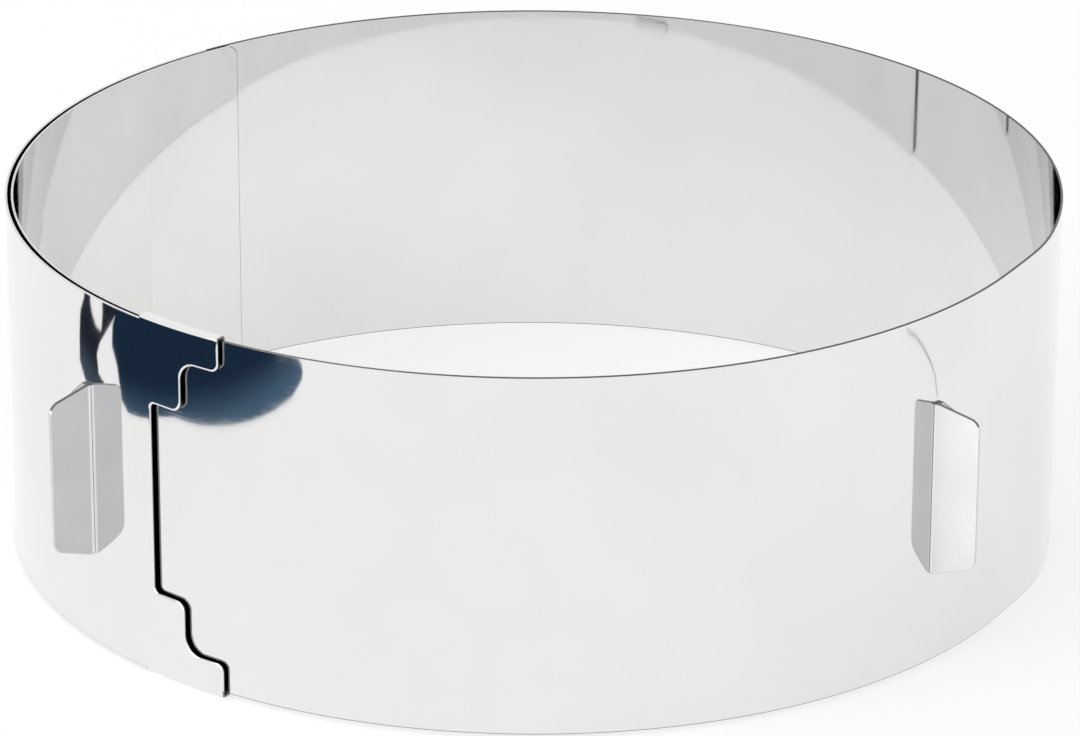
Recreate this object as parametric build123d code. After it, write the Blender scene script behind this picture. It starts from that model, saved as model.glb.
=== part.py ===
from build123d import *
import math
import os

# Adjustable cake ring: one long strip of spring steel wound on itself, with two bent grip plates
# welded to it. The outer end has a stepped notch between two ears, whose hems hook over the inner layer.
# The strip is divided into links that turn on one another, so that the ring opens and closes.
# +Z is up, z = 0 is the surface that the ring stands on, Z is the ring's axis and -Y is its front.
# A place along the strip is a turn about the axis in degrees, clockwise from above, that starts at
# the notch's middle edge. The ears lie at negative turns, and the inner layer at turns over 360.

# Driving dimensions of the strip, in millimetres
DIAMETER = 246.8
BAND_HEIGHT = 85.0
SHEET = 0.6
LAYER_PITCH = 1.4
LINK_SLIT = 0.05

# Places along the strip, in degrees
FRONT_ANGLE = -90.0
NOTCH_ANGLE = -43.5
LINK_ANGLE = 14.0
FIRST_HINGE_ANGLE = 4.0
LINK_COUNT = 32
STEP_LINK = 18
STRIP_END_ANGLE = 459.0
END_CORNER = 3.0

# Ears and notch of the outer end, along the strip and inwards from each rim
EAR_LENGTH = 20.3
NOTCH_FLOOR_LENGTH = 9.3
EAR_TIP_HEIGHT = 7.3
EAR_ROOT_HEIGHT = 19.5
EAR_NOSE_RADIUS = 2.0
EAR_SWEEP_RADIUS = 4.5
EAR_STEP_RADIUS = 2.5
NOTCH_CORNER_RADIUS = 1.5

# Hems that guide the inner layer under the ears
HEM_PAST_NOTCH = 3.0
HEM_RIM_CLEARANCE = 0.2
HEM_BACK_CLEARANCE = 0.45
HEM_DROP = 2.0
HEM_BEND_RADIUS = 0.6

# Grip plates: a foot on the band and a fin that stands out from it
GRIP_SHEET = 0.8
GRIP_HEIGHT = 41.5
GRIP_REACH = 10.7
GRIP_TAPER = 3.0
GRIP_TAPER_START = 1.0
GRIP_CORNER = 3.0
GRIP_BEND_OUTSIDE = 1.0
GRIP_BEND_INSIDE = 0.2
FOOT_LENGTH = 10.0
FOOT_TAPER = 6.5
FOOT_TAPER_START = 2.0
FOOT_CORNER = 2.5
WELD_GAP = 0.05
WELD_COUNT = 3
WELD_SPACING = 13.0
WELD_DIAMETER = 3.5
WELD_DEPTH = 0.15
LEFT_GRIP_ANGLE = 10.1
LEFT_GRIP_LEAN = 1.0
RIGHT_GRIP_ANGLE = 269.4
RIGHT_GRIP_LEAN = 20.0

# Sizes that follow from the driving dimensions
OUTER_MIDDLE = DIAMETER / 2 - SHEET / 2
INNER_MIDDLE = OUTER_MIDDLE - LAYER_PITCH
BAND_BOTTOM = HEM_RIM_CLEARANCE + SHEET
MID_HEIGHT = BAND_BOTTOM + BAND_HEIGHT / 2
HALF_BAND = BAND_HEIGHT / 2
EAR_ANGLE = math.degrees(EAR_LENGTH / OUTER_MIDDLE)
HEM_WIDTH = SHEET + LAYER_PITCH + HEM_BACK_CLEARANCE + SHEET

# Room that a cutting or trimming body takes beyond what it trims
SPARE = 5.0


def angle_of(turn):
    """Angle in the XY plane, in degrees, of a place along the strip."""
    return FRONT_ANGLE + NOTCH_ANGLE - turn


def place(turn, radius, z=0.0):
    """Point at a turn along the strip and a distance from the ring's axis."""
    angle = math.radians(angle_of(turn))
    return Vector(radius * math.cos(angle), radius * math.sin(angle), z)


def rightward(turn):
    """Level direction to the right at a turn, as seen from outside."""
    return Vector(0, 0, 1).cross(place(turn, 1.0))


def arc_along(start, end, start_radius, end_radius):
    """Line in plan that follows the strip as one arc between two turns."""
    middle = place((start + end) / 2, (start_radius + end_radius) / 2)
    return ThreePointArc(place(start, start_radius), middle, place(end, end_radius))


def plate_outline(arc, thickness):
    """Face in plan that follows an arc, with half the thickness to each side."""
    centre = arc.arc_center

    def offset(at, side):
        point = arc @ at
        return point + (point - centre).normalized() * side

    half = thickness / 2
    return make_face([
        ThreePointArc(offset(0, half), offset(0.5, half), offset(1, half)),
        Line(offset(1, half), offset(1, -half)),
        ThreePointArc(offset(1, -half), offset(0.5, -half), offset(0, -half)),
        Line(offset(0, -half), offset(0, half)),
    ])


def upright_plate(arc, thickness, bottom, height):
    """Plate that stands on edge along an arc in plan."""
    return Pos(0, 0, bottom) * extrude(plate_outline(arc, thickness), amount=height, dir=(0, 0, 1))


def facing_plane(turn):
    """Upright plane through the ring's axis that faces outwards, with X to the right as seen from outside."""
    return Plane(origin=(0, 0, MID_HEIGHT), x_dir=rightward(turn), z_dir=place(turn, 1.0))


def trimmed(solid, turn, silhouette):
    """Cuts a solid to a silhouette, as seen from outside at a turn."""
    beyond = DIAMETER / 2 + GRIP_REACH + SPARE
    return solid & extrude(facing_plane(turn) * silhouette, amount=beyond)


def link(start, end, radius):
    """One link of the strip, with half a slit taken off each end."""
    slit = math.degrees(LINK_SLIT / 2 / radius)
    return upright_plate(arc_along(start + slit, end - slit, radius, radius), SHEET, BAND_BOTTOM, BAND_HEIGHT)


def step_link(start, end):
    """The link that steps inwards from the outer layer's radius to the inner layer's."""
    slit = math.degrees(LINK_SLIT / 2 / OUTER_MIDDLE)
    first = place(start + slit, OUTER_MIDDLE)
    last = place(end - slit, INNER_MIDDLE)
    meeting = place((start + end) / 2, (OUTER_MIDDLE + INNER_MIDDLE) / 2)
    tighter = TangentArc(first, meeting, tangent=-rightward(start))
    flatter = TangentArc(meeting, last, tangent=tighter % 1)
    plates = [upright_plate(arc, SHEET, BAND_BOTTOM, BAND_HEIGHT) for arc in (tighter, flatter)]
    return plates[0] + plates[1]


def hem_profile():
    """Section of the upper hem: radius along X, height above the band's rim along Y."""
    outside = DIAMETER / 2
    back = outside - HEM_WIDTH
    top = HEM_RIM_CLEARANCE + SHEET
    corners = [
        (outside - SHEET, 0),
        (outside, 0),
        (outside, top),
        (back, top),
        (back, -HEM_DROP),
        (back + SHEET, -HEM_DROP),
        (back + SHEET, HEM_RIM_CLEARANCE),
        (outside - SHEET, HEM_RIM_CLEARANCE),
    ]
    face = make_face(Polyline(*corners, close=True))
    bends = face.vertices().filter_by(lambda v: v.Y > top - SHEET / 2)
    return fillet(bends, HEM_BEND_RADIUS)


def hem(side):
    """Hem along one rim of the ears: side is 1 for the upper rim and -1 for the lower."""
    span = math.degrees((EAR_LENGTH + HEM_PAST_NOTCH) / OUTER_MIDDLE)
    section = Plane.XZ * hem_profile()
    swept = revolve(section, axis=Axis.Z, revolution_arc=span)
    upper = Pos(0, 0, HALF_BAND) * Rot(0, 0, angle_of(span - EAR_ANGLE)) * swept
    if side < 0:
        upper = mirror(upper, about=Plane.XY)
    return Pos(0, 0, MID_HEIGHT) * upper


def outer_end():
    """The strip's outer end: two ears about a stepped notch, with a hem on each rim."""
    slit = math.degrees(LINK_SLIT / 2 / OUTER_MIDDLE)
    arc = arc_along(-EAR_ANGLE, FIRST_HINGE_ANGLE - slit, OUTER_MIDDLE, OUTER_MIDDLE)
    plate = upright_plate(arc, SHEET, BAND_BOTTOM, BAND_HEIGHT)
    notch_edge = -EAR_LENGTH / 2
    step = notch_edge + NOTCH_FLOOR_LENGTH
    tip = notch_edge + EAR_LENGTH
    behind = notch_edge - math.radians(FIRST_HINGE_ANGLE) * OUTER_MIDDLE - SPARE
    root = HALF_BAND - EAR_ROOT_HEIGHT
    nose = HALF_BAND - EAR_TIP_HEIGHT
    upper_half = [
        ((notch_edge, root), NOTCH_CORNER_RADIUS),
        ((step, root), EAR_STEP_RADIUS),
        ((step, nose), EAR_SWEEP_RADIUS),
        ((tip, nose), EAR_NOSE_RADIUS),
        ((tip, HALF_BAND), 0),
    ]
    lower_half = [((x, -y), radius) for (x, y), radius in reversed(upper_half)]
    points = [(behind, -HALF_BAND), *[point for point, _ in lower_half + upper_half], (behind, HALF_BAND)]
    radii = [radius for _, radius in lower_half + upper_half]
    edge = FilletPolyline(*points, radius=radii)
    silhouette = make_face([*edge.edges(), Line(points[-1], points[0])])
    return trimmed(plate, -EAR_ANGLE / 2, silhouette) + hem(1) + hem(-1)


def inner_end(start):
    """The strip's inner end, a short link with rounded corners."""
    plate = link(start, STRIP_END_ANGLE, INNER_MIDDLE)
    length = math.radians(STRIP_END_ANGLE - start) * INNER_MIDDLE
    silhouette = Pos(length / 2, 0) * RectangleRounded(2 * length, BAND_HEIGHT, END_CORNER)
    return trimmed(plate, (start + STRIP_END_ANGLE) / 2, silhouette)


def grip_plan(lean, seat):
    """Outline of a grip from above: X out of the ring, Y towards the foot. Seat is the foot's inner radius."""
    half = GRIP_SHEET / 2
    back = seat + GRIP_SHEET
    far = FOOT_LENGTH / seat
    base = Vector(seat, 0)
    outwards = Vector(1, 0).rotate(Axis.Z, lean)
    footwards = Vector(0, 1).rotate(Axis.Z, lean)

    def foot_point(radius, angle):
        return Vector(radius * math.cos(angle), radius * math.sin(angle))

    def fin_point(offset, radius):
        """Where the fin's face at an offset meets a radius."""
        start = base + footwards * offset
        along = start.dot(outwards)
        return start + outwards * (math.sqrt(along**2 - start.dot(start) + radius**2) - along)

    inside = fin_point(half, back)
    outside = fin_point(-half, seat)
    tip = base + outwards * GRIP_REACH
    foot_start = math.atan2(outside.Y, outside.X)
    plan = make_face([
        Line(tip - footwards * half, tip + footwards * half),
        Line(tip + footwards * half, inside),
        ThreePointArc(inside, foot_point(back, far / 2), foot_point(back, far)),
        Line(foot_point(back, far), foot_point(seat, far)),
        ThreePointArc(foot_point(seat, far), foot_point(seat, (far + foot_start) / 2), outside),
        Line(outside, tip - footwards * half),
    ])
    plan = fillet(plan.vertices().sort_by_distance(inside)[0], GRIP_BEND_INSIDE)
    return fillet(plan.vertices().sort_by_distance(outside)[0], GRIP_BEND_OUTSIDE)


def fin_outline():
    """The grip seen along the ring's wall: X from the foot to the fin's tip, Y from mid height."""
    half = GRIP_HEIGHT / 2
    lower = [(-SPARE, -half), (GRIP_TAPER_START, -half), (GRIP_REACH, GRIP_TAPER - half)]
    points = lower + [(x, -y) for x, y in reversed(lower)]
    edge = FilletPolyline(*points, radius=[GRIP_CORNER] * 4)
    return make_face([*edge.edges(), Line(points[-1], points[0])])


def foot_outline():
    """The grip seen from outside, the same to both sides of the fold: X from the fold, Y from mid height."""
    half = GRIP_HEIGHT / 2
    end = half - FOOT_TAPER
    right = [(FOOT_TAPER_START, -half), (FOOT_LENGTH, -end), (FOOT_LENGTH, end), (FOOT_TAPER_START, half)]
    left = [(-x, -y) for x, y in right]
    outline = make_face(Polyline(*right, *left, close=True))
    return fillet(outline.vertices().filter_by(lambda v: abs(v.X) > FOOT_LENGTH / 2), FOOT_CORNER)


def grip(turn, lean, foot_side, band_middle):
    """Grip plate: foot_side is 1 where the foot lies clockwise of the fin and -1 on the other side."""
    seat = band_middle + SHEET / 2 + WELD_GAP
    plan = grip_plan(lean, seat)
    plate = Pos(0, 0, -GRIP_HEIGHT / 2) * extrude(plan, amount=GRIP_HEIGHT, dir=(0, 0, 1))
    fin_side = extrude(Plane.XZ * fin_outline(), amount=FOOT_LENGTH + SPARE, both=True)
    plate = plate & (Pos(seat, 0, 0) * Rot(0, 0, lean) * fin_side)
    plate = plate & extrude(Plane.YZ * foot_outline(), amount=seat + GRIP_REACH + SPARE)

    dimple = Rot(0, 90, 0) * Cylinder(
        WELD_DIAMETER / 2, GRIP_SHEET, align=(Align.CENTER, Align.CENTER, Align.MIN))
    weld_angle = math.degrees((FOOT_LENGTH + GRIP_SHEET) / 2 / seat)
    for row in range(WELD_COUNT):
        height = (row - (WELD_COUNT - 1) / 2) * WELD_SPACING
        plate = plate - Rot(0, 0, weld_angle) * Pos(seat + GRIP_SHEET - WELD_DEPTH, 0, height) * dimple
    if foot_side > 0:
        plate = mirror(plate, about=Plane.XZ)
    return Pos(0, 0, MID_HEIGHT) * Rot(0, 0, angle_of(turn)) * plate


def sub_parts():
    """Every sub-part with its name."""
    yield "band_outer_end", outer_end()
    for number in range(1, LINK_COUNT + 1):
        start = FIRST_HINGE_ANGLE + (number - 1) * LINK_ANGLE
        end = start + LINK_ANGLE
        if number == STEP_LINK:
            solid = step_link(start, end)
        else:
            solid = link(start, end, OUTER_MIDDLE if number < STEP_LINK else INNER_MIDDLE)
        yield f"band_link_{number:02d}", solid
    yield "band_inner_end", inner_end(FIRST_HINGE_ANGLE + LINK_COUNT * LINK_ANGLE)
    yield "grip_left", grip(LEFT_GRIP_ANGLE, LEFT_GRIP_LEAN, 1, OUTER_MIDDLE)
    yield "grip_right", grip(RIGHT_GRIP_ANGLE, RIGHT_GRIP_LEAN, -1, INNER_MIDDLE)


os.makedirs("parts", exist_ok=True)
for name, solid in sub_parts():
    export_step(solid, f"parts/{name}.step")
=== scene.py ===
import math

import bpy
import numpy as np
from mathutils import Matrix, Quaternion, Vector
from mathutils.geometry import delaunay_2d_cdt


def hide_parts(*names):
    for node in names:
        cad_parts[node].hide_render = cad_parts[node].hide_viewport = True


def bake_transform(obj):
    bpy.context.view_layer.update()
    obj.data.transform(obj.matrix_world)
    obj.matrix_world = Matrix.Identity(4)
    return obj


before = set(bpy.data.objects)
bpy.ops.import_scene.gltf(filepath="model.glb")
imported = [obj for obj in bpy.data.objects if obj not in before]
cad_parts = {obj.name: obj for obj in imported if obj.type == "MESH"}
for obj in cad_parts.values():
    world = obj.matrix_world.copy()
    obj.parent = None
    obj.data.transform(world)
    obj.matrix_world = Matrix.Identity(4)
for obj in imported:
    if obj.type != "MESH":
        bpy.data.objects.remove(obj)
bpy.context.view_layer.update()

# Lengths are in millimetres and angles in degrees, as in the CAD source, unless a comment says otherwise.
# A turn is a place along the strip, in degrees clockwise from above, from the notch's middle edge.
MM = 0.001

# The strip, with the radii of the middle of its sheet. Hinge 0 is at the turn FIRST_HINGE, and each next one
# is LINK_ANGLE farther on. From STEP_START to STEP_END the strip passes from its outer to its inner layer.
DIAMETER = 246.8
SHEET = 0.6
LAYER_PITCH = 1.4
OUTER_RADIUS = (DIAMETER - SHEET) / 2
INNER_RADIUS = OUTER_RADIUS - LAYER_PITCH
HALF_BAND = 42.5
HEM_RIM_CLEARANCE = 0.2
MID_HEIGHT = HEM_RIM_CLEARANCE + SHEET + HALF_BAND
NOTCH_ANGLE = -133.5
LINK_ANGLE = 14.0
FIRST_HINGE = 4.0
LAST_HINGE = 32
STEP_START, STEP_END = 242.0, 256.0
STRIP_END = 459.0
END_CORNER = 3.0

# How far the visible strip stays inside the solids, and how far every edge is rounded
FACE_INSET = 0.008
VISIBLE_SHEET = SHEET - 2 * FACE_INSET
EDGE_RADIUS = 0.22

# Hinges whose pieces lie in the double layer
DOUBLE_LAYER = (*range(7), *range(26, LAST_HINGE + 1))


# Materials

# The range that nearly all values of a noise texture fall in
NOISE_LOW, NOISE_HIGH = 0.3, 0.7


class Nodes:
    """Small helper to build a node tree in a few words."""

    def __init__(self, name):
        self.material = bpy.data.materials.new(name)
        self.material.use_nodes = True
        self.tree = self.material.node_tree
        self.shader = self.tree.nodes["Principled BSDF"]

    def add(self, kind, **settings):
        """Adds a node. A setting that starts with in_ is a value or a link for that input."""
        node = self.tree.nodes.new(kind)
        for key, value in settings.items():
            if key.startswith("in_"):
                name = key[3:]
                self.give(node.inputs[int(name) if name.isdigit() else name.replace("_", " ")], value)
            else:
                setattr(node, key, value)
        return node

    def give(self, socket, value):
        if isinstance(value, bpy.types.NodeSocket):
            self.tree.links.new(value, socket)
        else:
            socket.default_value = value

    def link(self, source, target):
        self.tree.links.new(source, target)

    def sheet_coordinates(self, along=1.0, up=1.0):
        """The place on the flat sheet, in millimetres times the given scales."""
        flat = self.add("ShaderNodeAttribute", attribute_name="flat")
        return self.add("ShaderNodeVectorMath", operation="MULTIPLY", in_0=flat.outputs["Vector"],
                        in_1=(along, up, 1.0)).outputs["Vector"]

    def noise(self, vector, scale, detail=2.0, roughness=0.5):
        return self.add("ShaderNodeTexNoise", in_Vector=vector, in_Scale=scale, in_Detail=detail,
                        in_Roughness=roughness).outputs["Fac"]

    def remap(self, value, low, high, out_low, out_high):
        return self.add("ShaderNodeMapRange", in_0=value, in_1=low, in_2=high, in_3=out_low,
                        in_4=out_high).outputs["Result"]

    def spread(self, value, out_low, out_high):
        """A noise texture's usual range, spread between two values."""
        return self.remap(value, NOISE_LOW, NOISE_HIGH, out_low, out_high)

    def math(self, operation, first, second):
        return self.add("ShaderNodeMath", operation=operation, in_0=first, in_1=second).outputs["Value"]

    def mix(self, factor, first, second):
        node = self.add("ShaderNodeMix", data_type="RGBA")
        for socket, value in ((node.inputs[0], factor), (node.inputs[6], first), (node.inputs[7], second)):
            self.give(socket, value)
        return node.outputs[2]

    def relief(self, height, strength, distance, **settings):
        """Normal of a surface with a relief whose full height is the distance, in metres."""
        return self.add("ShaderNodeBump", in_Strength=strength, in_Distance=distance, in_Height=height,
                        **settings).outputs["Normal"]


def grey(value, warmth=0.0):
    return (value * (1 + warmth), value, value * (1 - warmth), 1.0)


def metal(name):
    """Node tree of a metal, and the place on its flat sheet."""
    n = Nodes(name)
    n.shader.inputs["Metallic"].default_value = 1.0
    return n, n.sheet_coordinates()


# Polished strip. Noise scales are per millimetre, and a stretch below 1 draws marks out along the strip.
CLOUD_SCALE = 0.02
CLOUD_COLOURS = grey(0.80, 0.008), grey(0.84, -0.004)
HAZE_SCALE = 0.06
HAZE_ROUGHNESS = 0.02, 0.045
GRAIN_SCALE, GRAIN_STRETCH = 3.0, 0.03
GRAIN_RANGE = 0.3, 0.8
GRAIN_ROUGHNESS = 0.0, 0.02
SCRATCH_SCALE, SCRATCH_STRETCH = 8.0, 0.02
SCRATCH_RANGE = 0.62, 0.72
SCRATCH_STRENGTH, SCRATCH_HEIGHT = 0.03, 0.00001
WAVE_SCALE = 0.018
WAVE_STRENGTH, WAVE_HEIGHT = 0.35, 0.00025


def polished_steel():
    """Bright rolled strip: nearly a mirror, with fine scratches, a little haze and a slight waviness."""
    n, flat = metal("polished_steel")
    clouds = n.noise(flat, CLOUD_SCALE, detail=3.0)
    n.link(n.mix(n.spread(clouds, 0, 1), *CLOUD_COLOURS), n.shader.inputs["Base Color"])
    haze = n.noise(flat, HAZE_SCALE, detail=4.0, roughness=0.6)
    grain = n.noise(n.sheet_coordinates(along=GRAIN_STRETCH), GRAIN_SCALE, detail=3.0, roughness=0.7)
    rough = n.math("ADD", n.spread(haze, *HAZE_ROUGHNESS), n.remap(grain, *GRAIN_RANGE, *GRAIN_ROUGHNESS))
    n.link(rough, n.shader.inputs["Roughness"])
    scratches = n.noise(n.sheet_coordinates(along=SCRATCH_STRETCH), SCRATCH_SCALE, roughness=0.6)
    scratch = n.remap(scratches, *SCRATCH_RANGE, 0.0, 1.0)
    waves = n.relief(n.noise(flat, WAVE_SCALE, detail=1.0), WAVE_STRENGTH, WAVE_HEIGHT)
    n.link(n.relief(scratch, SCRATCH_STRENGTH, SCRATCH_HEIGHT, in_Normal=waves), n.shader.inputs["Normal"])
    return n.material


# Sheared edges: shares of the grey value and roughness that each edge is given. These grey values are
# painted light and shade.
SHEAR_SCALE = 2.5
SHEAR_GREYS = 0.8, 1.15
SHEAR_ROUGHNESS = 0.8, 1.2
SHEAR_STRENGTH, SHEAR_HEIGHT = 0.3, 0.00002


def cut_edge(name, value, roughness):
    """Sheared edge of a sheet, with the fine marks that the shear leaves."""
    n, flat = metal(name)
    marks = n.noise(flat, SHEAR_SCALE, detail=3.0, roughness=0.6)
    greys = [grey(value * share) for share in SHEAR_GREYS]
    n.link(n.mix(n.spread(marks, 0, 1), *greys), n.shader.inputs["Base Color"])
    n.link(n.spread(marks, *[roughness * share for share in SHEAR_ROUGHNESS]), n.shader.inputs["Roughness"])
    n.link(n.relief(marks, SHEAR_STRENGTH, SHEAR_HEIGHT), n.shader.inputs["Normal"])
    return n.material


# Satin grips. The painted highlight on the bend has its place along the flat plate from the fin's tip. Brush
# marks run up the plate.
SATIN_SCALE = 0.08
SATIN_COLOURS = (0.582, 0.574, 0.587, 1.0), (0.622, 0.613, 0.628, 1.0)
BEND_HIGHLIGHT_START, BEND_HIGHLIGHT_END = 9.95, 10.6
BEND_HIGHLIGHT_BLUR = 0.2
BRUSH_SCALE, BRUSH_STRETCH = 4.0, 0.05
BRUSH_ROUGHNESS = 0.42, 0.50
BRUSH_STRENGTH, BRUSH_HEIGHT = 0.12, 0.00002


def satin_steel(name, bend_highlight):
    """Grip plates: the same steel with a dull rolled finish, and a painted highlight along the bend where
    the plate is bent.
    """
    n, flat = metal(name)
    dull = n.mix(n.spread(n.noise(flat, SATIN_SCALE, detail=3.0), 0, 1), *SATIN_COLOURS)
    along = n.add("ShaderNodeSeparateXYZ", in_Vector=flat).outputs["X"]
    # Mask of the bend, where a lighter grey is painted in as a highlight on the fold
    bent = n.math("MINIMUM", n.remap(along, BEND_HIGHLIGHT_START - BEND_HIGHLIGHT_BLUR, BEND_HIGHLIGHT_START, 0.0, 1.0),
                  n.remap(along, BEND_HIGHLIGHT_END, BEND_HIGHLIGHT_END + BEND_HIGHLIGHT_BLUR, 1.0, 0.0))
    n.link(n.mix(bent, dull, grey(bend_highlight)), n.shader.inputs["Base Color"])
    grain = n.noise(n.sheet_coordinates(up=BRUSH_STRETCH), BRUSH_SCALE, detail=3.0, roughness=0.6)
    n.link(n.spread(grain, *BRUSH_ROUGHNESS), n.shader.inputs["Roughness"])
    n.link(n.relief(grain, BRUSH_STRENGTH, BRUSH_HEIGHT), n.shader.inputs["Normal"])
    return n.material


# An edge has a grey value and a roughness, a grip's finish the grey of its painted bend highlight. The edge
# greys are painted light and shade: shade on the single layer's rim, the cut ends and the grips' top edges,
# highlight on the double layer's rim and the grips' other edges.
STEEL = polished_steel()
# Rim edges: painted shade where the strip is a single layer, painted highlight where it is double
RIM_PAINTED_SHADE = cut_edge("rim_edge_painted_shade", 0.11, 0.32)
RIM_PAINTED_HIGHLIGHT = cut_edge("rim_edge_double_painted_highlight", 0.74, 0.3)
# Cut ends and ear edges: a dark grey painted in as the shade of the seam's gap
CUT_PAINTED_SHADE = cut_edge("cut_edge", 0.26, 0.35)
# The second value is the grey of each grip's painted bend highlight, lighter on the left grip than on the
# right
SATIN_LEFT = satin_steel("satin_steel_left", 0.83)
SATIN_RIGHT = satin_steel("satin_steel_right", 0.67)
# Grip edges: painted shade on the upper edge, a painted highlight on all the others
GRIP_TOP_EDGE_PAINTED_SHADE = cut_edge("grip_top_edge_painted_shade", 0.16, 0.35)
GRIP_SIDE_EDGES_PAINTED_HIGHLIGHT = cut_edge("grip_side_edges_painted_highlight", 0.7, 0.35)
FACE_SLOT, RIM_SLOT, CUT_SLOT = 0, 1, 2


# The strip's shape

def direction_out(turn):
    angle = math.radians(NOTCH_ANGLE - turn)
    return np.array([math.cos(angle), math.sin(angle), 0.0])


def direction_on(turn):
    """Level direction along the strip, towards higher turns."""
    angle = math.radians(NOTCH_ANGLE - turn)
    return np.array([math.sin(angle), -math.cos(angle), 0.0])


def strip_radius(turn):
    """Radius of the middle of the sheet, and how steeply it changes along the strip."""
    step = OUTER_RADIUS - INNER_RADIUS
    share = min(1.0, max(0.0, (turn - STEP_START) / (STEP_END - STEP_START)))
    length = math.radians(STEP_END - STEP_START) * OUTER_RADIUS
    if share < 0.5:
        return OUTER_RADIUS - step * 2 * share ** 2, -step * 4 * share / length
    return INNER_RADIUS + step * 2 * (1 - share) ** 2, -step * 4 * (1 - share) / length


def strip_frame(turn):
    """Point on the middle of the sheet at mid height, and the outward normal there."""
    radius, slope = strip_radius(turn)
    normal = direction_out(turn) - slope * direction_on(turn)
    return radius * direction_out(turn) + np.array([0, 0, MID_HEIGHT]), normal / np.linalg.norm(normal)


def make_piece(name, points, normals, flat, faces, slots, materials):
    """Mesh object from millimetre points, with exact normals and the flat sheet's coordinates."""
    mesh = bpy.data.meshes.new(name)
    mesh.from_pydata([tuple(p * MM) for p in points], [], faces)
    for material in materials:
        mesh.materials.append(material)
    mesh.polygons.foreach_set("material_index", slots)
    mesh.polygons.foreach_set("use_smooth", [True] * len(faces))
    attribute = mesh.attributes.new("flat", "FLOAT_VECTOR", "POINT")
    attribute.data.foreach_set("vector", np.array(flat, np.float32).ravel())
    mesh.validate()
    mesh.normals_split_custom_set_from_vertices([tuple(v / np.linalg.norm(v)) for v in normals])
    piece = bpy.data.objects.new(name, mesh)
    bpy.context.scene.collection.objects.link(piece)
    return piece


# Steps from a face to the middle of its rounded edge, columns of a piece of the strip, and the short
# tongue with which a piece reaches into the one before it
ARC_STEPS = 4
PIECE_COLUMNS = 28
TONGUE_INSET = 0.012
TONGUE_LENGTH = 0.2


def edge_arc():
    """Angles over a rounded edge, from the front face to its middle and from there to the back face."""
    quarter = [i / ARC_STEPS * math.pi / 2 for i in range(ARC_STEPS + 1)]
    return quarter, [math.pi / 2 + a for a in quarter]


def band_section(inset):
    """Closed section of the strip: offset from mid sheet, height from mid height, and normal."""
    half, height, radius = SHEET / 2 - FACE_INSET - inset, HALF_BAND - inset, EDGE_RADIUS
    front, back = edge_arc()
    loop = []
    for side in (1, -1):
        arc = [(half - radius, a) for a in front] + [(radius - half, a) for a in back]
        if side < 0:
            arc = arc[::-1]
        for centre, a in arc:
            loop.append((centre + radius * math.cos(a), side * (height - radius + radius * math.sin(a)),
                         (math.cos(a), side * math.sin(a))))
    return loop


def band_piece(number):
    """Stretch of the strip about one hinge, from the middle of one link to the middle of the next."""
    start = FIRST_HINGE + (number - 0.5) * LINK_ANGLE
    tongue = math.degrees(TONGUE_LENGTH / OUTER_RADIUS)
    rings = [(start - tongue, TONGUE_INSET), (start, TONGUE_INSET)]
    rings += [(start + LINK_ANGLE * i / PIECE_COLUMNS, 0.0) for i in range(PIECE_COLUMNS + 1)]
    points, normals, flat, faces, slots = [], [], [], [], []
    for turn, inset in rings:
        centre, out = strip_frame(turn)
        for offset, height, (level, up) in band_section(inset):
            points.append(centre + out * offset + np.array([0, 0, height]))
            normals.append(out * level + np.array([0, 0, up]))
            flat.append((math.radians(turn) * OUTER_RADIUS, height, offset))
    size = len(points) // len(rings)
    for row in range(len(rings) - 1):
        for i in range(size):
            j = (i + 1) % size
            a, b = row * size, (row + 1) * size
            faces.append((a + i, a + j, b + j, b + i))
            slots.append(FACE_SLOT if i in (size // 2 - 1, size - 1) else RIM_SLOT)
    faces.append(tuple(range(size))[::-1])
    faces.append(tuple((len(rings) - 1) * size + i for i in range(size)))
    slots += [FACE_SLOT, FACE_SLOT]
    # Double-layer pieces get the rim with the painted highlight, the others the rim with painted shade
    rim = RIM_PAINTED_HIGHLIGHT if number in DOUBLE_LAYER else RIM_PAINTED_SHADE
    return make_piece(f"strip_{number:02d}", points, normals, flat, faces, slots, [STEEL, rim, CUT_PAINTED_SHADE])


# Plates with a cut outline

# How near a point is to a line or a border that it counts as on it, and how far past the rim a hem begins
ON_LINE, AT_BORDER, PAST_RIM = 0.1, 0.001, 0.05

# How finely a rounded corner is cut, and the step over which the slope of a surface is taken
CORNER_STEPS = 6
CORNER_SPACING = 0.25
SLOPE_STEP = 0.01


def filleted(corners, spacing):
    """Polygon from corners (x, y, radius), each corner rounded and each side cut to the spacing."""
    outline = []
    count = len(corners)
    for i, (x, y, radius) in enumerate(corners):
        here = np.array([x, y], float)
        before = np.array(corners[i - 1][:2], float) - here
        after = np.array(corners[(i + 1) % count][:2], float) - here
        u, w = before / np.linalg.norm(before), after / np.linalg.norm(after)
        if radius <= 0:
            outline.append(here)
            continue
        half = math.acos(max(-1.0, min(1.0, u @ w))) / 2
        reach = radius / math.tan(half)
        centre = here + (u + w) / np.linalg.norm(u + w) * radius / math.sin(half)
        first, last = here + u * reach - centre, here + w * reach - centre
        start = math.atan2(first[1], first[0])
        sweep = (math.atan2(last[1], last[0]) - start + math.pi) % (2 * math.pi) - math.pi
        steps = max(CORNER_STEPS, int(abs(sweep) * radius / CORNER_SPACING))
        for s in range(steps + 1):
            a = start + sweep * s / steps
            outline.append(centre + radius * np.array([math.cos(a), math.sin(a)]))
    dense = []
    for i, point in enumerate(outline):
        following = outline[(i + 1) % len(outline)]
        steps = max(1, math.ceil(np.linalg.norm(following - point) / spacing((point + following) / 2)))
        for s in range(steps):
            dense.append(point + (following - point) * s / steps)
    return np.array(dense)


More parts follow.
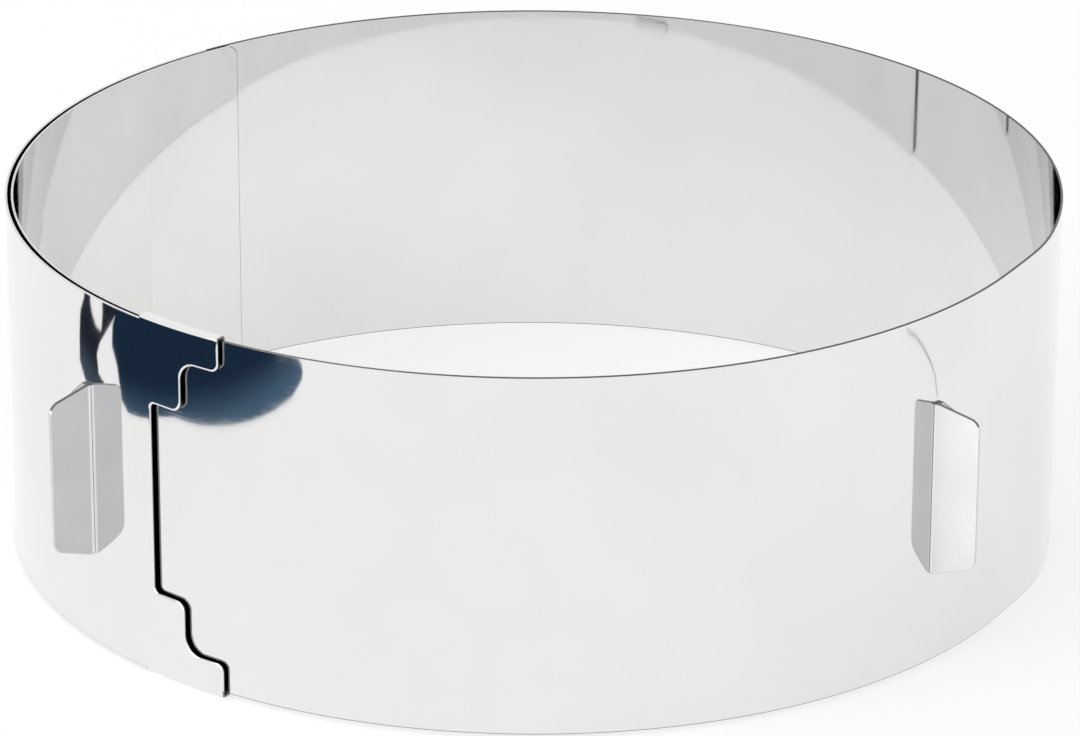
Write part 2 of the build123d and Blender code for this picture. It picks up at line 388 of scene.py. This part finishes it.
def grid_inside(columns, rows, outline, margin):
    """Grid points that lie in the outline, at least the margin away from it."""
    start, end = outline, np.roll(outline, -1, axis=0)
    side = end - start
    kept = []
    for p in (np.array([x, y]) for x in columns for y in rows):
        t = np.clip(((p - start) * side).sum(1) / (side * side).sum(1), 0, 1)
        near = np.hypot(*(start + side * t[:, None] - p).T).min()
        crosses = (start[:, 1] > p[1]) != (end[:, 1] > p[1])
        with np.errstate(divide="ignore", invalid="ignore"):
            at = start[:, 0] + (p[1] - start[:, 1]) / (end[:, 1] - start[:, 1]) * side[:, 0]
        if near >= margin and (crosses & (p[0] < at)).sum() % 2:
            kept.append(p)
    return kept


def plate(name, outline, grid, shape, thickness, border, materials, edge_slot,
          relief=lambda p, offset: 0.0, mirrored=False, roll=lambda p: 0.0):
    """Thick plate from a flat outline and inner grid points, rounded at its edges and bent by shape(x, y).

    shape gives the point on mid sheet and the front's normal. border(p) is true where the outline meets the
    next piece, edge_slot(p) is the cut's material slot, and relief(p, offset) moves a point off its plane.
    roll(p) is how much farther than the radius the shear has drawn the front's edge in, in the face's own
    finish. mirrored is for a shape that turns the plate over.
    """
    radius = EDGE_RADIUS
    count = len(outline)
    edges = np.roll(outline, -1, axis=0) - outline
    edges /= np.linalg.norm(edges, axis=1)[:, None]
    outward = np.stack([edges[:, 1], -edges[:, 0]], 1)
    corner = outward + np.roll(outward, 1, axis=0)
    corner = corner / (corner * corner).sum(1)[:, None] * 2
    at_border = np.array([border(p) for p in outline])
    for i in np.where(at_border)[0]:
        inner = at_border[i - 1] and at_border[(i + 1) % count]
        corner[i] = (0.0, 0.0) if inner else (0.0, np.sign(outline[i][1]))
    front, back = edge_arc()
    half = thickness / 2
    rolls = [roll(p) for p in outline]
    loops = [(half - radius + radius * math.cos(a), a) for a in front]
    loops += [(radius - half + radius * math.cos(a), a) for a in back]
    points, normals, flat, faces, slots = [], [], [], [], []

    def surface(p, offset):
        middle, out = shape(*p)
        return middle + out * (offset + relief(p, offset))

    def slope(p, way, offset):
        difference = surface(p + way * SLOPE_STEP, offset) - surface(p - way * SLOPE_STEP, offset)
        return difference / max(1e-9, np.linalg.norm(difference))

    def add(p, offset, angle, way, width=1.0):
        out = np.cross(slope(p, np.array([1.0, 0.0]), offset), slope(p, np.array([0.0, 1.0]), offset))
        out *= np.sign(out @ shape(*p)[1])
        points.append(surface(p, offset))
        if abs(math.sin(angle)) < 1e-6 or way is None:
            normals.append(out * (1 if offset > 0 else -1))
        else:
            normals.append(out * math.cos(angle) * width + slope(p, way, 0.0) * math.sin(angle))
        flat.append((p[0], p[1], offset))
        return len(points) - 1

    rings = []
    for row, (offset, angle) in enumerate(loops):
        ring = []
        for i, p in enumerate(outline):
            way = corner[i]
            width = radius + (rolls[i] if row <= ARC_STEPS else 0.0)
            inset = width * (1 - math.sin(angle))
            ring.append(add(p - way * inset, offset, angle, way if way.any() else None, width / radius))
        rings.append(ring)
    for row, (a, b) in enumerate(zip(rings, rings[1:])):
        for i in range(count):
            j = (i + 1) % count
            faces.append((a[j], a[i], b[i], b[j]))
            rolled = row < ARC_STEPS and rolls[i] > 0
            plain = rolled or (at_border[i] and at_border[j])
            slots.append(FACE_SLOT if plain else edge_slot((outline[i] + outline[j]) / 2))
    rim = [p - c * (radius + r) for p, c, r in zip(outline, corner, rolls)]
    flat_points = [Vector(p) for p in rim] + [Vector(p) for p in grid]
    made = delaunay_2d_cdt(flat_points, [], [list(range(count))], 1, 1e-6)
    inner_front, inner_back = {}, {}
    for index, sources in enumerate(made[3]):
        source = sources[0]
        if source < count:
            inner_front[index], inner_back[index] = rings[0][source], rings[-1][source]
        else:
            p = np.array(grid[source - count])
            inner_front[index] = add(p, half, 0.0, None)
            inner_back[index] = add(p, -half, math.pi, None)
    for face in made[2]:
        faces.append(tuple(inner_front[i] for i in face))
        faces.append(tuple(inner_back[i] for i in reversed(face)))
        slots += [FACE_SLOT, FACE_SLOT]
    if mirrored:
        faces = [face[::-1] for face in faces]
    return make_piece(name, points, normals, flat, faces, slots, materials)


# The two ends of the strip

# Ears and notch: lengths from the notch's middle edge, heights from mid height, and radii of corners
EAR_LENGTH = 20.3
NOTCH_FLOOR = 9.3
EAR_TIP = HALF_BAND - 7.3
EAR_ROOT = HALF_BAND - 19.5
NOTCH_CORNER, EAR_STEP, EAR_SWEEP, EAR_NOSE = 1.5, 2.5, 4.5, 2.0

# Hems, with the bend's radius and the heights of the middle of the sheet
HEM_START = -3.0
HEM_CORNER = 0.8
HEM_BACK_CLEARANCE = 0.45
HEM_DROP = 2.0
BEND_RADIUS = 0.36
HEM_TOP = HALF_BAND + HEM_RIM_CLEARANCE + SHEET / 2
BEND_HEIGHT = HEM_TOP - BEND_RADIUS
HEM_FLAT = SHEET + LAYER_PITCH + HEM_BACK_CLEARANCE - 2 * BEND_RADIUS
HEM_LEG = HEM_DROP + BEND_HEIGHT - HALF_BAND
QUARTER = BEND_RADIUS * math.pi / 2
HEM_END = BEND_HEIGHT + QUARTER + HEM_FLAT + QUARTER + HEM_LEG

# Die roll on the ears' front edges, and where it fades out below the hem
DIE_ROLL = 0.3
DIE_ROLL_END = 0.5
DIE_ROLL_FADE = 1.5

# Inner points of the ends, and how closely their outlines are cut
COLUMN_STEP = 1.0
WALL_MARGIN = 2.2
WALL_ROWS = np.linspace(-HALF_BAND + WALL_MARGIN, HALF_BAND - WALL_MARGIN, 17)
GRID_MARGIN, HEM_MARGIN = 0.8, 0.35
WALL_SPACING, HEM_SPACING = 0.5, 0.08
BEND_STEPS = 6
LEG_ROWS = HEM_END - 1.5, HEM_END - 0.9


def hem_path(height):
    """Where the flat sheet's height goes once the hem is folded: radial offset, height, normal."""
    side = 1 if height >= 0 else -1
    left = abs(height) - BEND_HEIGHT
    if left <= 0:
        return 0.0, height, 1.0, 0.0
    if left < QUARTER:
        a = left / BEND_RADIUS
        risen = BEND_HEIGHT + BEND_RADIUS * math.sin(a)
        return -BEND_RADIUS * (1 - math.cos(a)), side * risen, math.cos(a), side * math.sin(a)
    left -= QUARTER
    if left < HEM_FLAT:
        return -BEND_RADIUS - left, side * HEM_TOP, 0.0, side
    left -= HEM_FLAT
    if left < QUARTER:
        a = left / BEND_RADIUS
        return (-BEND_RADIUS - HEM_FLAT - BEND_RADIUS * math.sin(a),
                side * (BEND_HEIGHT + BEND_RADIUS * math.cos(a)), -math.sin(a), side * math.cos(a))
    left -= QUARTER
    return -2 * BEND_RADIUS - HEM_FLAT, side * (BEND_HEIGHT - left), -1.0, 0.0


def end_shape(x, height):
    """The strip near its outer end: x runs along the sheet, from the notch's mid edge towards the ears."""
    turn = -math.degrees(x / OUTER_RADIUS)
    inward, level, out, up = hem_path(height)
    middle, normal = strip_frame(turn)
    return (middle + direction_out(turn) * inward + np.array([0, 0, level]),
            normal * out + np.array([0, 0, up]))


def on_rim(p):
    return abs(p[1]) > HALF_BAND - ON_LINE


def outer_end():
    """The stepped notch, its two ears and their hems, up to the middle of the first link."""
    border = -math.radians(FIRST_HINGE + LINK_ANGLE / 2) * OUTER_RADIUS
    upper = [(0, EAR_ROOT, NOTCH_CORNER), (NOTCH_FLOOR, EAR_ROOT, EAR_STEP),
             (NOTCH_FLOOR, EAR_TIP, EAR_SWEEP), (EAR_LENGTH, EAR_TIP, EAR_NOSE),
             (EAR_LENGTH, HEM_END, HEM_CORNER), (HEM_START, HEM_END, HEM_CORNER),
             (HEM_START, HALF_BAND, 0), (border, HALF_BAND, 0)]
    lower = [(x, -y, r) for x, y, r in reversed(upper)]

    def spacing(p):
        hemmed = abs(p[1]) > HALF_BAND + PAST_RIM and p[0] > HEM_START - ON_LINE
        return HEM_SPACING if hemmed else WALL_SPACING

    outline = filleted(lower + upper, spacing)
    columns = np.arange(border + COLUMN_STEP, EAR_LENGTH, COLUMN_STEP)
    bends = [BEND_HEIGHT + QUARTER * i / BEND_STEPS for i in range(BEND_STEPS + 1)]
    bends += [BEND_HEIGHT + QUARTER + HEM_FLAT * 0.5]
    bends += [BEND_HEIGHT + QUARTER + HEM_FLAT + QUARTER * i / BEND_STEPS for i in range(BEND_STEPS + 1)]
    bends += LEG_ROWS
    hem_columns = [x for x in columns if x > HEM_START]
    grid = grid_inside(columns, WALL_ROWS, outline, GRID_MARGIN)
    grid += grid_inside(hem_columns, [s * y for y in bends for s in (1, -1)], outline, HEM_MARGIN)

    def edge_slot(p):
        return RIM_SLOT if p[0] < HEM_START and on_rim(p) else CUT_SLOT

    def die_roll(p):
        if p[0] <= -ON_LINE:
            return 0.0
        return DIE_ROLL * min(1.0, max(0.0, (HALF_BAND - DIE_ROLL_END - abs(p[1])) / DIE_ROLL_FADE))

    # The ears' cut edges carry painted shade, their rim before the hem a painted highlight
    return plate("strip_00_ears", outline, grid, end_shape, VISIBLE_SHEET,
                 lambda p: p[0] < border + AT_BORDER, [STEEL, RIM_PAINTED_HIGHLIGHT, CUT_PAINTED_SHADE], edge_slot, roll=die_roll)


def inner_end():
    """The last stretch of the inner layer, with rounded corners."""
    start = FIRST_HINGE + (LAST_HINGE - 0.5) * LINK_ANGLE
    length = math.radians(STRIP_END - start) * INNER_RADIUS
    corners = [(0, -HALF_BAND, 0), (0, HALF_BAND, 0), (-length, HALF_BAND, END_CORNER),
               (-length, -HALF_BAND, END_CORNER)]
    outline = filleted(corners, lambda p: COLUMN_STEP)
    grid = grid_inside(np.arange(-length + COLUMN_STEP, 0, COLUMN_STEP), WALL_ROWS, outline, GRID_MARGIN)

    def shape(x, height):
        middle, normal = strip_frame(start - math.degrees(x / INNER_RADIUS))
        return middle + np.array([0, 0, height]), normal

    return plate(f"strip_{LAST_HINGE}_inner_end", outline, grid, shape, VISIBLE_SHEET,
                 lambda p: p[0] > -AT_BORDER, [STEEL, RIM_PAINTED_HIGHLIGHT, CUT_PAINTED_SHADE],
                 lambda p: RIM_SLOT if on_rim(p) else CUT_SLOT)


def body_name(index):
    return {0: "outer_end", LAST_HINGE + 1: "inner_end"}.get(index, f"link_{index:02d}")


def node_name(index):
    return "band_" + body_name(index)


def bend_with(piece, hinge):
    """Bakes the piece's placement into its mesh. The hinge's turn, middle point and body name are worked out
    but not used.
    """
    turn = FIRST_HINGE + hinge * LINK_ANGLE
    middle, _ = strip_frame(turn)
    body_name(hinge)
    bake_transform(piece)


strip = [outer_end()] + [band_piece(k) for k in range(1, LAST_HINGE)] + [inner_end()]
for hinge, piece in enumerate(strip):
    bend_with(piece, hinge)
    nodes = [node_name(hinge)] + ([node_name(LAST_HINGE + 1)] if hinge == LAST_HINGE else [])
    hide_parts(*nodes)


# Grips

# Plates: half height, how far the fin stands out, and how much and from where the fin and the foot taper
GRIP_SHEET = 0.8
GRIP_HALF = 20.75
GRIP_REACH = 10.7
GRIP_TAPER = 3.0
GRIP_TAPER_START = 1.0
GRIP_CORNER = 3.0
FOOT_CORNER = 2.5
FOOT_LENGTH = 10.0
FOOT_TAPER = 6.5
FOOT_TAPER_START = 2.0
SEAT_GAP = 0.02

# The bend's radius at mid sheet, and the small radius that the press leaves on the outside of the fold
GRIP_BEND = 0.6
GRIP_FOLD = 0.12

# Heights of the spot welds, and their dimples, whose rims fade over a short way
WELDS = (-13.0, 0.0, 13.0)
WELD_RADIUS = 1.75
WELD_DEPTH = 0.15
WELD_RIM, WELD_FADE = 0.2, 0.5

# Inner points of the grips, with their margins at the start and end of each part, and how closely their
# outlines are cut
ROW_MARGIN, ROW_STEP = 0.9, 0.55
GRIP_ROWS = np.arange(-GRIP_HALF + ROW_MARGIN, GRIP_HALF - ROW_MARGIN, ROW_STEP)
FIN_MARGINS, FIN_STEP = (0.9, 0.3), 1.1
FOOT_MARGINS, FOOT_STEP = (0.5, 0.6), 0.45
FOLD_COLUMNS = 24
GRIP_MARGIN = 0.45
GRIP_SPACING, FOLD_SPACING = 0.7, 0.07


def grip(name, turn, lean, foot_side, band_radius, hinge, node, satin):
    """Bent plate: a foot on the strip, and a fin that stands out from it and leans towards the foot.

    foot_side is 1 for a foot on the side of higher turns and -1 for one on the other side.
    """
    seat = band_radius + SHEET / 2 + SEAT_GAP
    foot_radius = seat + GRIP_SHEET / 2
    lean = math.radians(lean)
    out, on = direction_out(turn), direction_on(turn) * foot_side
    along_fin = out * math.cos(lean) + on * math.sin(lean)
    across_fin = on * math.cos(lean) - out * math.sin(lean)
    beside = out * seat + across_fin * GRIP_BEND
    past = beside @ along_fin
    bend_start = math.sqrt(past ** 2 - beside @ beside + (foot_radius + GRIP_BEND) ** 2) - past
    centre = beside + along_fin * bend_start
    foot_start = math.atan2(centre @ on, centre @ out)
    sweep = math.pi / 2 + lean - foot_start
    fin = GRIP_REACH - bend_start
    bend = GRIP_BEND * sweep
    foot = (FOOT_LENGTH / seat - foot_start) * foot_radius
    length = fin + bend + foot

    def shape(x, height):
        up = np.array([0, 0, MID_HEIGHT + height])
        if x < fin:
            return out * seat + along_fin * (GRIP_REACH - x) + up, across_fin
        x -= fin
        if x < bend:
            a = x / GRIP_BEND
            way = across_fin * math.cos(a) + along_fin * math.sin(a)
            return centre - way * GRIP_BEND + up, way
        a = foot_start + (x - bend) / foot_radius
        way = out * math.cos(a) + on * math.sin(a)
        return way * foot_radius + up, way

    tip, end = GRIP_HALF - GRIP_TAPER, GRIP_HALF - FOOT_TAPER
    fin_taper = GRIP_REACH - GRIP_TAPER_START
    foot_taper = fin + bend + FOOT_TAPER_START - foot_start * foot_radius
    corners = [(0, -tip, GRIP_CORNER), (fin_taper, -GRIP_HALF, GRIP_CORNER), (foot_taper, -GRIP_HALF, 0),
               (length, -end, FOOT_CORNER), (length, end, FOOT_CORNER), (foot_taper, GRIP_HALF, 0),
               (fin_taper, GRIP_HALF, GRIP_CORNER), (0, tip, GRIP_CORNER)]

    outside = GRIP_BEND + GRIP_SHEET / 2
    fold_reach = (outside - GRIP_FOLD) / math.cos(sweep / 2)
    straight = math.atan(fold_reach * math.sin(sweep / 2) / outside)

    def fold(x):
        """How far the fold's outside stands proud of an even bend, because the press makes it sharper."""
        a = (x - fin) / GRIP_BEND
        side = min(a, sweep - a)
        if side <= 0:
            return 0.0
        if side < straight:
            return outside / math.cos(side) - outside
        aside = fold_reach * math.sin(a - sweep / 2)
        return fold_reach * math.cos(a - sweep / 2) + math.sqrt(GRIP_FOLD ** 2 - aside ** 2) - outside

    def spacing(p):
        return FOLD_SPACING if fin - ON_LINE < p[0] < fin + bend + ON_LINE else GRIP_SPACING

    outline = filleted(corners, spacing)
    columns = list(np.arange(FIN_MARGINS[0], fin - FIN_MARGINS[1], FIN_STEP))
    columns += [fin + bend * i / FOLD_COLUMNS for i in range(FOLD_COLUMNS + 1)]
    columns += list(np.arange(fin + bend + FOOT_MARGINS[0], length - FOOT_MARGINS[1], FOOT_STEP))
    grid = grid_inside(columns, GRIP_ROWS, outline, GRIP_MARGIN)
    weld_x = fin + bend + (FOOT_LENGTH + GRIP_SHEET) / 2 - foot_start * foot_radius

    def relief(p, offset):
        """The sharper fold on the back, and the weld dimples on the front."""
        if offset < GRIP_SHEET / 2 - 0.01:
            return fold(p[0]) * min(0.0, offset) / (GRIP_SHEET / 2)
        near = min(math.hypot(p[0] - weld_x, p[1] - w) for w in WELDS)
        share = min(1.0, max(0.0, (WELD_RADIUS + WELD_RIM - near) / WELD_FADE))
        return -WELD_DEPTH * share * share * (3 - 2 * share)

    def edge_slot(p):
        """The upper edge is painted in shade, darker than the rest, which carry a painted highlight."""
        return RIM_SLOT if p[1] > tip - GRIP_CORNER / 3 else CUT_SLOT

    piece = plate(name, outline, grid, shape, GRIP_SHEET, lambda p: False, [satin, GRIP_TOP_EDGE_PAINTED_SHADE, GRIP_SIDE_EDGES_PAINTED_HIGHLIGHT],
                  edge_slot, relief, foot_side > 0)
    bend_with(piece, hinge)
    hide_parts(node)


grip("grip_plate_left", 10.1, 1.0, 1, OUTER_RADIUS, 1, "grip_left", SATIN_LEFT)
grip("grip_plate_right", 269.4, 20.0, -1, INNER_RADIUS, 19, "grip_right", SATIN_RIGHT)


# Studio

def flat_object(name, points, height, material):
    """Level polygon in the studio."""
    mesh = bpy.data.meshes.new(name)
    mesh.from_pydata([(x * MM, y * MM, height * MM) for x, y in points], [], [tuple(range(len(points)))])
    mesh.materials.append(material)
    thing = bpy.data.objects.new(name, mesh)
    bpy.context.scene.collection.objects.link(thing)
    return thing


FLOOR_SIZE = 4000.0
FLOOR_FLECKS = 40.0
FLOOR_COLOURS = grey(0.93), grey(0.95)
FLOOR_ROUGHNESS, FLOOR_GLOSS = 0.9, 0.1

# How much of the white backdrop the camera and the steel see in place of the lit floor
FLOOR_WHITE = 0.63


def pale_floor():
    """Pale floor that keeps the ring's shadow and fades into a white backdrop."""
    n = Nodes("pale_floor")
    flecks = n.noise(n.add("ShaderNodeTexCoord").outputs["Object"], FLOOR_FLECKS, detail=3.0)
    n.link(n.mix(flecks, *FLOOR_COLOURS), n.shader.inputs["Base Color"])
    n.shader.inputs["Roughness"].default_value = FLOOR_ROUGHNESS
    n.shader.inputs["Specular IOR Level"].default_value = FLOOR_GLOSS
    path = n.add("ShaderNodeLightPath")
    seen = n.math("MAXIMUM", path.outputs["Is Camera Ray"], path.outputs["Is Glossy Ray"])
    seen = n.math("MAXIMUM", seen, path.outputs["Is Transmission Ray"])
    white = n.add("ShaderNodeEmission", in_Color=grey(1.0), in_Strength=1.0)
    mixed = n.add("ShaderNodeMixShader")
    n.link(n.math("MULTIPLY", seen, FLOOR_WHITE), mixed.inputs[0])
    n.link(n.shader.outputs[0], mixed.inputs[1])
    n.link(white.outputs[0], mixed.inputs[2])
    n.link(mixed.outputs[0], n.tree.nodes["Material Output"].inputs["Surface"])
    return n.material


flat_object("floor", [(-FLOOR_SIZE, -FLOOR_SIZE), (FLOOR_SIZE, -FLOOR_SIZE), (FLOOR_SIZE, FLOOR_SIZE),
                      (-FLOOR_SIZE, FLOOR_SIZE)], 0.0, pale_floor())

# Dark cards: height above the floor, speckle per metre, and how far the speckle blurs the light edge
CARD_HEIGHT = 0.5
CARD_SPECKLE = 300.0
SPECKLE_RANGE = 0.2, 0.8
CARD_BLUR = 4.0
CARD_START = -2.0
CARD_FALLOFF = 1.4
CARD_ROUGHNESS = 0.95


def dark_card(name, near, far, edge, away, depth=24.0):
    """Dark studio card, lighter at an edge and darker over a depth, in the level direction away from it."""
    n = Nodes(name)
    place = n.add("ShaderNodeTexCoord").outputs["Object"]
    spots = n.noise(place, CARD_SPECKLE, detail=4.0, roughness=0.7)
    start = n.add("ShaderNodeVectorMath", operation="SUBTRACT", in_0=place,
                  in_1=(edge[0] * MM, edge[1] * MM, 0.0))
    inwards = n.add("ShaderNodeVectorMath", operation="DOT_PRODUCT", in_0=start.outputs["Vector"],
                    in_1=(away[0] / MM, away[1] / MM, 0.0)).outputs["Value"]
    speckled = n.math("ADD", inwards, n.remap(spots, *SPECKLE_RANGE, -CARD_BLUR, CARD_BLUR))
    share = n.remap(speckled, CARD_START, depth, 1.0, 0.0)
    n.link(n.mix(n.math("POWER", share, CARD_FALLOFF), far, near), n.shader.inputs["Base Color"])
    n.shader.inputs["Roughness"].default_value = CARD_ROUGHNESS
    n.shader.inputs["Specular IOR Level"].default_value = 0.0
    return n.material


def reflected_card(name, outline, material):
    """Card just above the floor that shows in the steel and nowhere else."""
    card = flat_object(name, outline, CARD_HEIGHT, material)
    for ray in ("camera", "diffuse", "transmission", "volume_scatter", "shadow"):
        setattr(card, f"visible_{ray}", False)


def narrow_band(centre_line, first_width, last_width):
    """Outline of a narrow band along a line, from one width to the other."""
    line = np.array(centre_line, float)
    way = np.gradient(line, axis=0)
    way /= np.linalg.norm(way, axis=1)[:, None]
    width = np.linspace(first_width, last_width, len(line))[:, None]
    side = np.stack([-way[:, 1], way[:, 0]], 1) * width / 2
    return [tuple(p) for p in line + side] + [tuple(p) for p in (line - side)[::-1]]


reflected_card("card_seam", [
    (-420, -45), (-306, -43), (-291, -36), (-277, -38), (-265, -47), (-253, -52), (-243, -56), (-236, -64),
    (-234, -77), (-232, -107), (-223, -131), (-216, -154), (-209, -177), (-203, -201), (-200, -220),
    (-202, -234), (-206, -238), (-210, -240), (-216, -239), (-222, -235), (-228, -230), (-233, -225),
    (-420, -300)],
    dark_card("navy_card", (0.054, 0.102, 0.163, 1.0), (0.0095, 0.0225, 0.046, 1.0), (-236, -64),
              (-0.989, -0.146)))
reflected_card("card_left", [
    (-330, 20), (-297, 12), (-285, 15), (-269, 10), (-253, 3), (-245, -7), (-241, -14), (-250, -34),
    (-254, -25), (-266, -19), (-275, -21), (-286, -29), (-301, -42), (-307, -47), (-340, -50), (-340, -15),
    (-305, -17), (-294, -20), (-283, -21), (-284, -13), (-292, -3), (-299, 2), (-330, 4)],
    dark_card("black_card", (0.07, 0.095, 0.13, 1.0), (0.014, 0.018, 0.028, 1.0), (-245, -10),
              (-0.94, -0.34)))
reflected_card("card_right", narrow_band([
    (292, -96), (287, -82), (278, -71), (269, -64), (260, -59), (245, -58)], 1.8, 1.1),
    dark_card("grey_card", (0.50, 0.51, 0.53, 1.0), (0.24, 0.25, 0.27, 1.0), (245, -58), (0.8, -0.6), 36.0))

# Camera: the photograph's viewpoint, in front and about 22 degrees above, with its place in metres
CAMERA_PLACE = (0.0, -1.31405, 0.57437)
CAMERA_PITCH, CAMERA_YAW, CAMERA_ROLL = 22.1915, 0.0669, 0.1816
CAMERA_LENS, CAMERA_SENSOR = 199.702, 36.0
CAMERA_NEAR, CAMERA_FAR = 0.05, 20.0

camera = bpy.data.objects.new("camera", bpy.data.cameras.new("camera"))
bpy.context.scene.collection.objects.link(camera)
bpy.context.scene.camera = camera
camera.location = CAMERA_PLACE
pitch, yaw, roll = math.radians(CAMERA_PITCH), math.radians(CAMERA_YAW), math.radians(CAMERA_ROLL)
look = Vector((math.sin(yaw) * math.cos(pitch), math.cos(yaw) * math.cos(pitch), -math.sin(pitch)))
camera.rotation_mode = "QUATERNION"
camera.rotation_quaternion = look.to_track_quat("-Z", "Y") @ Quaternion((0, 0, 1), roll)
camera.data.sensor_width = CAMERA_SENSOR
camera.data.lens = CAMERA_LENS
camera.data.clip_start, camera.data.clip_end = CAMERA_NEAR, CAMERA_FAR

# Lamps: places and sizes in metres, power in watts, all aimed at the middle of the ring
RING_MIDDLE = (0, 0, 0.04)


def soft_lamp(name, place, size, power):
    lamp = bpy.data.lights.new(name, "AREA")
    lamp.shape = "RECTANGLE"
    lamp.size, lamp.size_y = size
    lamp.energy = power
    thing = bpy.data.objects.new(name, lamp)
    bpy.context.scene.collection.objects.link(thing)
    thing.location = place
    thing.rotation_mode = "QUATERNION"
    thing.rotation_quaternion = (Vector(RING_MIDDLE) - Vector(place)).to_track_quat("-Z", "Y")
    return thing


soft_lamp("key_lamp", (-1.6, -1.1, 1.5), (1.4, 1.4), 12.0)
side_lamp = soft_lamp("side_lamp", (-1.23, -1.32, 0.25), (1.3, 0.5), 22.0)
side_lamp.visible_diffuse = False

# World: white where the camera and the steel see it, and a little weaker as light
WORLD_LIGHT, WORLD_SEEN = 0.96, 1.0

world = bpy.data.worlds.new("studio")
bpy.context.scene.world = world
world.use_nodes = True
background = world.node_tree.nodes["Background"]
background.inputs["Color"].default_value = grey(1.0)
light_path = world.node_tree.nodes.new("ShaderNodeLightPath")
seen = world.node_tree.nodes.new("ShaderNodeMath")
seen.operation = "MAXIMUM"
world.node_tree.links.new(light_path.outputs["Is Camera Ray"], seen.inputs[0])
world.node_tree.links.new(light_path.outputs["Is Glossy Ray"], seen.inputs[1])
strength = world.node_tree.nodes.new("ShaderNodeMapRange")
strength.inputs["To Min"].default_value = WORLD_LIGHT
strength.inputs["To Max"].default_value = WORLD_SEEN
world.node_tree.links.new(seen.outputs[0], strength.inputs["Value"])
world.node_tree.links.new(strength.outputs["Result"], background.inputs["Strength"])
bpy.context.scene.view_settings.view_transform = "Standard"
